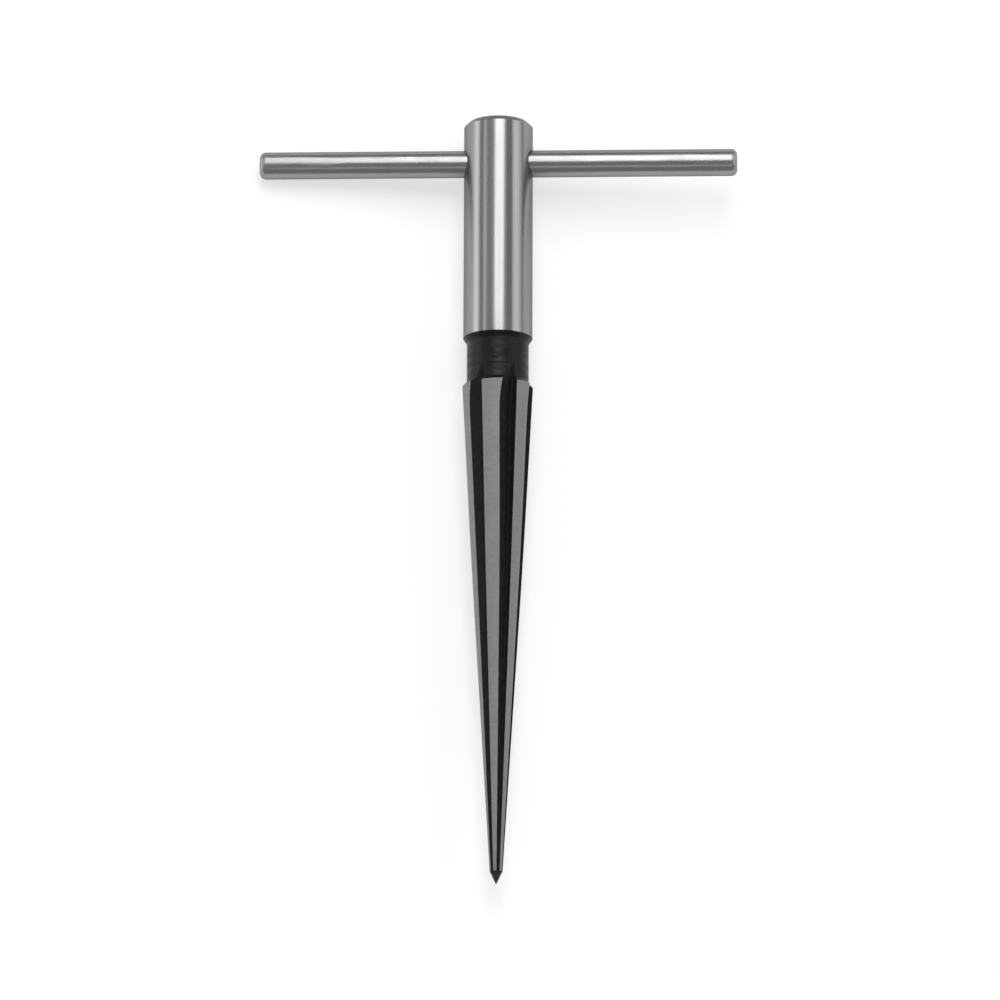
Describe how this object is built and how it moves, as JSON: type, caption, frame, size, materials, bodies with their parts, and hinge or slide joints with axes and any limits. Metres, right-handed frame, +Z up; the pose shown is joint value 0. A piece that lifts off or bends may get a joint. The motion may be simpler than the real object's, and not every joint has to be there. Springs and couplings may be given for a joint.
{
  "type": "taper reamer",
  "caption": "Hand reamer lying on its side: a ground round head and shank, a black turned neck, a straight-fluted taper with a conical point, and a cross bar pressed through the head.",
  "frame": {"origin": "on the surface that the tool lies on, half-way along its length, under its axis", "axes": "+Y along the tool's axis from the point to the head, +X along the cross bar towards its raised end, +Z up from the surface"},
  "size_m": [0.088, 0.1434, 0.0127],
  "materials": {
    "reamer_steel": "ground bright on the head and shank, ground matt on the lands, black as hardened in the neck and flutes and on the point",
    "bar_steel": "bright ground bar"
  },
  "bodies": {
    "root": {"reamer_body": "reamer_steel", "cross_bar": "bar_steel"}
  },
  "joints": []
}
